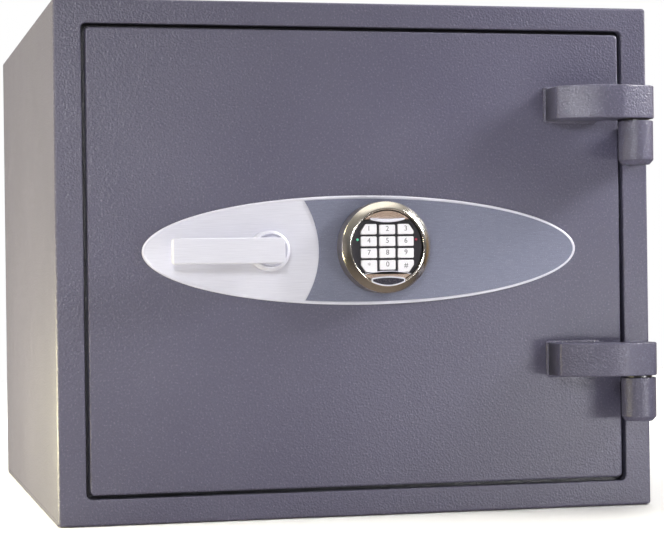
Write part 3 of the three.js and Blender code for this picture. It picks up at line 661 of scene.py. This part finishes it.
def build_trim():
    """The silver ellipse with its raised bead, and the blue-grey panel right of its divider."""
    low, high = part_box("trim_plate")
    centre = middle("trim_plate")
    spindle = middle("handle_spindle")
    radii = ((high.x - low.x) / 2, (high.z - low.z) / 2)
    count = 224
    outline = ellipse(flat(centre), radii, count)
    hole = circle((spindle.x, spindle.z), SPINDLE_HOLE, count)
    face = low.y
    bead = [
        (0, high.y), (0, face + 0.5 * MM), (0.15 * MM, face + 0.1 * MM), (0.5 * MM, face - 0.25 * MM),
        (1.0 * MM, face - 0.42 * MM), (1.5 * MM, face - 0.45 * MM), (2.0 * MM, face - 0.35 * MM),
        (2.4 * MM, face - 0.12 * MM), (2.6 * MM, face),
    ]
    mesh = ring("trim_shield", outline, hole, "Y", bead, [(0, high.y), (0, face)])
    piece(mesh, SILVER, "door", ["trim_plate"])

    low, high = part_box("trim_insert")
    rim = 2.8 * MM
    divider, bow = -41.5 * MM, 81 * MM
    fine, every, arc_steps = 720, 3, 40
    pivot = Vector((divider - bow, centre.z))
    inside = ellipse(flat(centre), (radii[0] - rim, radii[1] - rim), fine, -math.pi)
    beyond = [p for p in inside if (p - pivot).length > bow and p.x > divider - bow / 2]
    first, last = beyond[0] - pivot, beyond[-1] - pivot
    sweep = math.atan2(first.y, first.x) - math.atan2(last.y, last.x)
    arc = [pivot + Matrix.Rotation(sweep * i / arc_steps, 2) @ last for i in range(1, arc_steps)]
    outline = beyond[::every] + [beyond[-1]] + arc
    mesh = slab("trim_panel", outline, "Y", edges(high.y, low.y, 0, 0.2 * MM, 3))
    piece(mesh, BLUE_GREY, "door", ["trim_insert"])


def build_handle():
    """The flat lever on its waisted hub, and the dished rosette behind it."""
    low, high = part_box("handle_lever")
    spindle = middle("handle_spindle")
    axis = (spindle.x, spindle.z)
    thickness, corner = 11 * MM, 2.6 * MM
    back = low.y + thickness
    outline = rectangle(flat(low), flat(high), corner)
    mesh = slab("handle_bar", outline, "Y", edges(back, low.y, 1.2 * MM, 1.1 * MM, 5))
    piece(mesh, SILVER, "handle", ["handle_lever"])
    hub, waist, foot = 9.5 * MM, 9.1 * MM, 9.4 * MM
    profile = [
        (hub, back - 1 * MM), (hub, back + 3 * MM), (waist, back + 4 * MM),
        (waist, high.y - 3 * MM), (foot, high.y - 2 * MM), (foot, high.y),
    ]
    piece(turned("handle_hub", "Y", axis, profile), SILVER_RING, "handle")

    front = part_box("handle_rosette")[0].y
    profile_mm = [
        (9.9, 15.0), (17.8, 15.0), (17.8, 2.8), (17.6, 1.9), (17.1, 1.0), (16.3, 0.4),
        (15.4, 0.1), (14.7, 0.15), (14.2, 0.7), (13.8, 1.9), (13.0, 1.9), (12.4, 1.0),
        (11.6, 0.6), (11.0, 0.6), (10.4, 0.9), (9.9, 1.8),
    ]
    profile = [(r * MM, front + depth * MM) for r, depth in profile_mm]
    mesh = turned("rosette_ring", "Y", axis, profile, 96, True)
    piece(mesh, SILVER_RING, "door", ["handle_rosette"])


def around_keypad(points):
    """Outline corners given in millimetres about the keypad's centre, as (u, v, radius) in metres."""
    return [(KEYPAD.x + u * MM, KEYPAD.z + v * MM, r * MM) for u, v, r in points]


def arc_points(left, right, ends, crest, count=14):
    """Points along a shallow arc from left to right whose ends and middle are at the given heights."""
    return [
        (left + (right - left) * i / count, crest + (ends - crest) * (2 * i / count - 1) ** 2, 0)
        for i in range(count + 1)
    ]


def rim_points(reach, level, count=24):
    """Points along a circle about the keypad's centre, from the right to the left, above a level."""
    start = math.asin(level / reach)
    sweep = (math.pi - 2 * start) / count
    angles = [start + i * sweep for i in range(count + 1)]
    return [(reach * math.cos(angle), reach * math.sin(angle), 0) for angle in angles]


def tilted(mesh, face, top, slope):
    """The mesh with its front pushed back in proportion to the distance below a height."""
    for vertex in mesh.vertices:
        if vertex.co.y < face:
            vertex.co.y = min(face, vertex.co.y + (top - vertex.co.z) * slope)
    return mesh


def build_visor(face, front, reach):
    """The hood over the keys, its chrome tinted brown as a painted reflection, leaning back downwards, and
    the bright lip along its lower edge.
    """
    level, lean = 24.6, 0.3
    half = math.sqrt(reach * reach - level * level)
    hood = rim_points(reach, level) + arc_points(-half, half, level, level)[1:-1]
    profile = edges(face, front + 0.3 * MM, 0, 0.3 * MM, 2)
    mesh = slab("visor_hood", rounded(around_keypad(hood)), "Y", profile)
    tilted(mesh, face, KEYPAD.z + reach * MM, lean)
    piece(mesh, CHROME_PAINTED_BROWN_REFLECTION, "door", ["keypad_visor"])
    lip_half = 15.8
    lip = arc_points(-lip_half, lip_half, 24.3, 22.0) + arc_points(lip_half, -lip_half, 25.9, 25.2)
    mesh = slab("visor_lip", rounded(around_keypad(lip)), "Y", edges(face, front, 0, 0.7 * MM, 4))
    piece(mesh, SILVER_RING, "door")


def build_badge(face, front, reach):
    """The band under the keys, its chrome tinted brown as a painted reflection, with its bright upper edge,
    and the blank badge below it.
    """
    ends, crest, lean = -24.2, -21.2, 0.2
    upright_from = KEYPAD.z - 21 * MM
    half = math.sqrt(reach * reach - ends * ends)
    low_rim = [(u, -v, r) for u, v, r in rim_points(reach, -ends)][::-1]
    outline = rounded(around_keypad(low_rim[1:-1] + arc_points(half, -half, ends, crest)))
    mesh = slab("lower_bezel", outline, "Y", edges(face, front + 0.6 * MM, 0, 0.3 * MM, 2))
    tilted(mesh, face, upright_from, lean)
    piece(mesh, CHROME_PAINTED_BROWN_REFLECTION, "door", ["keypad_badge"])
    edge = arc_points(-half, half, ends - 0.3, -22.1) + arc_points(half, -half, ends + 0.6, -20.9)
    profile = edges(face, front + 0.3 * MM, 0, 0.45 * MM, 3)
    mesh = slab("bezel_edge", rounded(around_keypad(edge)), "Y", profile)
    piece(mesh, SILVER_RING, "door")

    plate_half = 15.4
    plate = arc_points(-plate_half, plate_half, -30.9, -34.6)
    plate += arc_points(plate_half, -plate_half, -27.6, -26.0)
    outline = rounded(around_keypad(plate))
    mesh = slab("badge_plate", outline, "Y", edges(front + 3 * MM, front - 0.7 * MM, 0, 0.35 * MM, 3))
    piece(mesh, SILVER_RING, "door")
    profile = edges(front, front - 0.85 * MM, 0, 0.12 * MM, 2)
    mesh = slab("badge_face", inset(outline, 1.1 * MM), "Y", profile)
    piece(mesh, ENAMEL, "door")


def build_keypad():
    """The round housing with its satin wall, its colour darkened as painted shade, and chrome bevel, and
    everything on its face but the keys.
    """
    low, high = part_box("keypad_housing")
    radius = (high.x - low.x) / 2 / MM
    front, back = low.y, high.y
    bevel_width, face_margin = 7.8, 0.9
    inner = radius - bevel_width
    wall = [(radius, back), (radius, front + 5.4 * MM), (radius - 0.15, front + 5.0 * MM)]
    bevel = [
        (radius - 0.5, front + 4.6 * MM), (radius - 1.6, front + 3.6 * MM), (radius - 2.9, front + 2.5 * MM),
        (radius - 4.2, front + 1.5 * MM), (radius - 5.4, front + 0.7 * MM), (radius - 6.1, front + 0.3 * MM),
        (radius - 6.7, front), (inner + 0.4, front + 0.1 * MM), (inner, front + 0.5 * MM),
        (inner - 0.1, front + 1.2 * MM), (inner - 0.5, front + 7.5 * MM), (inner - 0.5, back - 4 * MM),
    ]
    profile = [(r * MM, y) for r, y in wall + bevel]
    mesh = turned("keypad_body", "Y", (KEYPAD.x, KEYPAD.z), profile, 128)
    mesh.materials.append(CHROME)
    shell = piece(mesh, SATIN_CHROME_PAINTED_SHADE, "door", ["keypad_housing"])
    chrome_index, shaded_satin_index = 0, 1
    wall_radius, wall_front = (radius - 0.25) * MM, front + 4.7 * MM
    # The outer wall takes the darkened copy, which is painted shade.
    for polygon in shell.data.polygons:
        off = Vector((polygon.center.x - KEYPAD.x, polygon.center.z - KEYPAD.z)).length
        on_wall = off > wall_radius and polygon.center.y > wall_front
        polygon.material_index = shaded_satin_index if on_wall else chrome_index

    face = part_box("keypad_face")[0].y
    reach = inner - face_margin
    build_visor(face, front, reach)
    build_badge(face, front, reach)
    build_indicator("led_green", GREEN)
    build_indicator("led_red", RED)


def build_indicator(name, finish):
    """A small lamp: a short cylinder with a low dome."""
    low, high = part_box(name)
    centre = middle(name)
    radius = (high.x - low.x) / 2
    rim = low.y + 0.5 * MM
    flatness = 0.38
    dome_angles = (0.35, 0.7, 1.05, 1.35)
    profile = [(radius, high.y), (radius, rim)]
    profile += [(radius * math.cos(a), rim - radius * flatness * math.sin(a)) for a in dome_angles]
    mesh = turned(name + "_dome", "Y", (centre.x, centre.z), profile, 24)
    piece(mesh, finish, "door", [name])


def key_points(centre, low, high):
    """A key's corners; the tall outer keys have their corner away from the keypad's centre cut off."""
    column_pitch, tall = 17 * MM, 9 * MM
    cut_down, cut_across = 6.4 * MM, 4.4 * MM
    corner, side_corner, end_corner = 1.1 * MM, 1.6 * MM, 1.3 * MM
    side = round((centre.x - KEYPAD.x) / column_pitch)
    above = centre.z - KEYPAD.z
    slanted = side != 0 and high.z - low.z > tall
    points = []
    for x, z in ((high.x, low.z), (high.x, high.z), (low.x, high.z), (low.x, low.z)):
        outward = slanted and (x - centre.x) * side > 0 and (z - centre.z) * above > 0
        if not outward:
            points.append((x, z, corner))
            continue
        on_side = (x, z - math.copysign(cut_down, above), side_corner)
        on_end = (x - math.copysign(cut_across, side), z, end_corner)
        # Counter-clockwise order depends on which corner is cut.
        points += [on_side, on_end] if side * above > 0 else [on_end, on_side]
    return points


def build_keys():
    """The twelve key caps and the sign printed on each."""
    symbols = dict({"clear": "*", "enter": "#"}, **{str(n): str(n) for n in range(10)})
    lift, proud = 0.5 * MM, 0.04 * MM
    for key, symbol in symbols.items():
        node = "key_" + key
        body = node + "_cap"
        low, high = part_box(node)
        centre = middle(node)
        outline = rounded(key_points(centre, low, high))
        mesh = slab(node + "_cap", outline, "Y", edges(high.y, low.y, 0.1 * MM, 0.5 * MM))
        piece(mesh, KEY_CAP, body, [node])
        build_legend(node, symbol, (centre.x, centre.z + lift), low.y - proud, body)


def build_legend(node, symbol, centre, face, body):
    """The key's digit or sign, printed just proud of the cap."""
    curve = bpy.data.curves.new("legend", "FONT")
    curve.body = symbol
    curve.size, curve.extrude = 6.4 * MM, 0.02 * MM
    curve.align_x = "CENTER"
    curve.align_y = "CENTER"
    holder = bpy.data.objects.new("legend", curve)
    bpy.context.scene.collection.objects.link(holder)
    graph = bpy.context.evaluated_depsgraph_get()
    mesh = bpy.data.meshes.new_from_object(holder.evaluated_get(graph), depsgraph=graph)
    bpy.data.objects.remove(holder)
    bpy.data.curves.remove(curve)
    mesh.name = node + "_legend"
    mesh.transform(Matrix.Translation((centre[0], face, centre[1])) @ Matrix.Rotation(math.pi / 2, 4, "X"))
    mesh.materials.clear()
    piece(mesh, LEGEND, body)


# Floor, light and camera -----------------------------------------------------------------------------


def build_floor():
    half, thickness, clearance = 2.2, 0.006, 0.0006
    corners = ((half, -half), (half, half), (-half, half), (-half, -half))
    mesh = loft("floor_slab", [[(x, y, z) for x, y in corners] for z in (-thickness, -clearance)])
    floor = bpy.data.objects.new("floor_slab", mesh)
    bpy.context.scene.collection.objects.link(floor)
    mesh.materials.append(pale_floor())
    for polygon in mesh.polygons:
        polygon.use_smooth = False
    floor.visible_glossy = False


def build_world():
    """A white backdrop, and the studio that the safe reflects, which the camera itself doesn't see."""
    world = bpy.data.worlds.new("studio")
    world.use_nodes = True
    bpy.context.scene.world = world
    tree = world.node_tree
    tree.nodes.clear()
    direction = add_node(tree, "ShaderNodeTexCoord").outputs["Generated"]
    light = studio_lobes(tree, direction, studio_by_height(tree, direction))
    strength = 0.2
    studio = add_node(tree, "ShaderNodeBackground", {"Color": light, "Strength": strength}).outputs[0]
    backdrop = add_node(tree, "ShaderNodeBackground", {"Color": colour(1, 1, 1), "Strength": 1.0}).outputs[0]
    seen = add_node(tree, "ShaderNodeLightPath").outputs["Is Camera Ray"]
    both = add_node(tree, "ShaderNodeMixShader", {0: seen, 1: studio, 2: backdrop}).outputs[0]
    add_node(tree, "ShaderNodeOutputWorld", {"Surface": both})


def studio_by_height(tree, direction):
    """The studio's light by height: a warm floor (0), dim walls and a bright cream ceiling (1)."""
    height = add_node(tree, "ShaderNodeSeparateXYZ", {0: direction}).outputs[2]
    limits = {"Value": height, "From Min": -1.0, "From Max": 1.0}
    share = add_node(tree, "ShaderNodeMapRange", limits).outputs[0]
    ramp = add_node(tree, "ShaderNodeValToRGB", {0: share})
    stops = [
        (0.0, colour(1.1, 0.9, 0.75)),
        (0.36, colour(0.22, 0.19, 0.17)),
        (0.48, colour(0.42, 0.40, 0.40)),
        (0.60, colour(0.62, 0.60, 0.60)),
        (0.80, colour(1.1, 1.05, 0.95)),
        (0.90, colour(1.6, 1.5, 1.35)),
        (0.96, colour(7.0, 6.7, 6.0)),
    ]
    elements = ramp.color_ramp.elements
    while len(elements) < len(stops):
        elements.new(0.5)
    for element, (position, shade) in zip(elements, stops):
        element.position = position
        element.color = shade
    return ramp.outputs[0]


def studio_lobes(tree, direction, light):
    """Soft panels over the studio's light: (aim, cosine at the edge, cosine where full, colour)."""
    amber_right = ((0.95, 0.30, 0.0), 0.86, 0.97, colour(1.3, 0.85, 0.36))
    pale_left = ((-0.96, -0.26, 0.0), 0.94, 0.99, colour(1.1, 1.0, 0.95))
    cream_behind_left = ((-0.45, 0.89, 0.0), 0.75, 0.95, colour(3.6, 3.3, 2.7))
    white_behind = ((0.35, 0.93, 0.1), 0.80, 0.95, colour(1.0, 1.0, 1.0))
    warm_below_front = ((0.23, -0.81, -0.54), 0.90, 0.98, colour(3.0, 2.5, 2.1))
    for aim, low, high, shade in (amber_right, pale_left, cream_behind_left, white_behind, warm_below_front):
        facing = add_node(tree, "ShaderNodeVectorMath", {0: direction, 1: aim}, operation="DOT_PRODUCT")
        limits = {"Value": facing.outputs["Value"], "From Min": low, "From Max": high}
        share = add_node(tree, "ShaderNodeMapRange", limits, interpolation_type="SMOOTHSTEP").outputs[0]
        sockets = {"Factor": share, MIX_FIRST: light, MIX_SECOND: shade}
        light = add_node(tree, "ShaderNodeMix", sockets, data_type="RGBA").outputs[MIX_RESULT]
    return light


def build_lamp(name, place, aim, size, watts, shade, spread=180, glossy=True):
    """A soft box that the camera doesn't see, with its spread in degrees."""
    lamp = bpy.data.lights.new(name, "AREA")
    lamp.shape = "RECTANGLE"
    lamp.size, lamp.size_y = size
    lamp.energy = watts
    lamp.color = shade
    lamp.spread = math.radians(spread)
    holder = bpy.data.objects.new(name, lamp)
    bpy.context.scene.collection.objects.link(holder)
    holder.location = place
    holder.rotation_mode = "QUATERNION"
    holder.rotation_quaternion = (Vector(aim) - Vector(place)).to_track_quat("-Z", "Y")
    holder.visible_camera = False
    holder.visible_glossy = glossy


def build_lamps():
    """Lamps on the front, one from above for the floor, and two warm ones on the left side."""
    cool, ice, near_white, white = (0.98, 0.98, 1.0), (0.95, 0.96, 1.0), (1.0, 0.99, 0.98), (1.0, 1.0, 1.0)
    straw, yellow = (1.0, 0.94, 0.64), (1.0, 0.92, 0.56)
    build_lamp("key_front", (-0.62, -1.92, 0.70), (-0.16, -0.26, 0.20), (0.3, 0.3), 0.9, cool, 50)
    build_lamp("soft_left", (-0.61, -1.30, 0.60), (0.20, -0.30, 0.39), (0.25, 0.15), 0.045, ice, 14)
    build_lamp("key_right", (0.62, -1.06, 1.22), (0.10, -0.26, 0.26), (0.5, 0.4), 0.8, cool, glossy=False)
    build_lamp("rim_right", (0.95, -0.55, 0.80), (0.24, -0.29, 0.38), (0.3, 0.4), 0.8, near_white, 34)
    build_lamp("fill_low", (0.60, -1.00, 0.07), (0.26, -0.26, 0.06), (0.3, 0.1), 0.22, cool, 60)
    build_lamp("overhead", (0.0, 0.75, 2.4), (0, 0.75, 0), (3.6, 2.6), 115, white, glossy=False)
    build_lamp("side_high", (-1.10, -0.05, 0.85), (-0.27, -0.05, 0.34), (0.6, 0.3), 8, straw)
    build_lamp("side_low", (-0.70, -0.05, 0.05), (-0.27, -0.08, 0.03), (0.7, 0.08), 6, yellow)


def build_camera():
    """A camera left of the keypad's line, a little below it and turned a little to the right."""
    place = (-0.458, -1.952, 0.214)
    data = bpy.data.cameras.new("camera")
    data.sensor_width, data.lens = 36, 105.8
    data.shift_x, data.shift_y = 0.08, 0.02
    camera = bpy.data.objects.new("camera", data)
    bpy.context.scene.collection.objects.link(camera)
    yaw, pitch, roll = (math.radians(angle) for angle in (12.7, -0.09, -0.72))
    ahead = Vector((math.sin(yaw) * math.cos(pitch), math.cos(yaw) * math.cos(pitch), math.sin(pitch)))
    level = Vector((math.cos(yaw), -math.sin(yaw), 0))
    upright = level.cross(ahead)
    right = math.cos(roll) * level + math.sin(roll) * upright
    up = math.cos(roll) * upright - math.sin(roll) * level
    turn = Matrix((right, up, -ahead)).transposed().to_4x4()
    camera.matrix_world = Matrix.Translation(place) @ turn
    bpy.context.scene.camera = camera
    bpy.context.scene.view_settings.view_transform = "Standard"


finish_cad_nodes()
build_cabinet()
for hinge in ("upper", "lower"):
    build_hinge(hinge)
build_door()
build_bolts()
build_trim()
build_handle()
build_keypad()
build_keys()
build_floor()
build_world()
build_lamps()
build_camera()
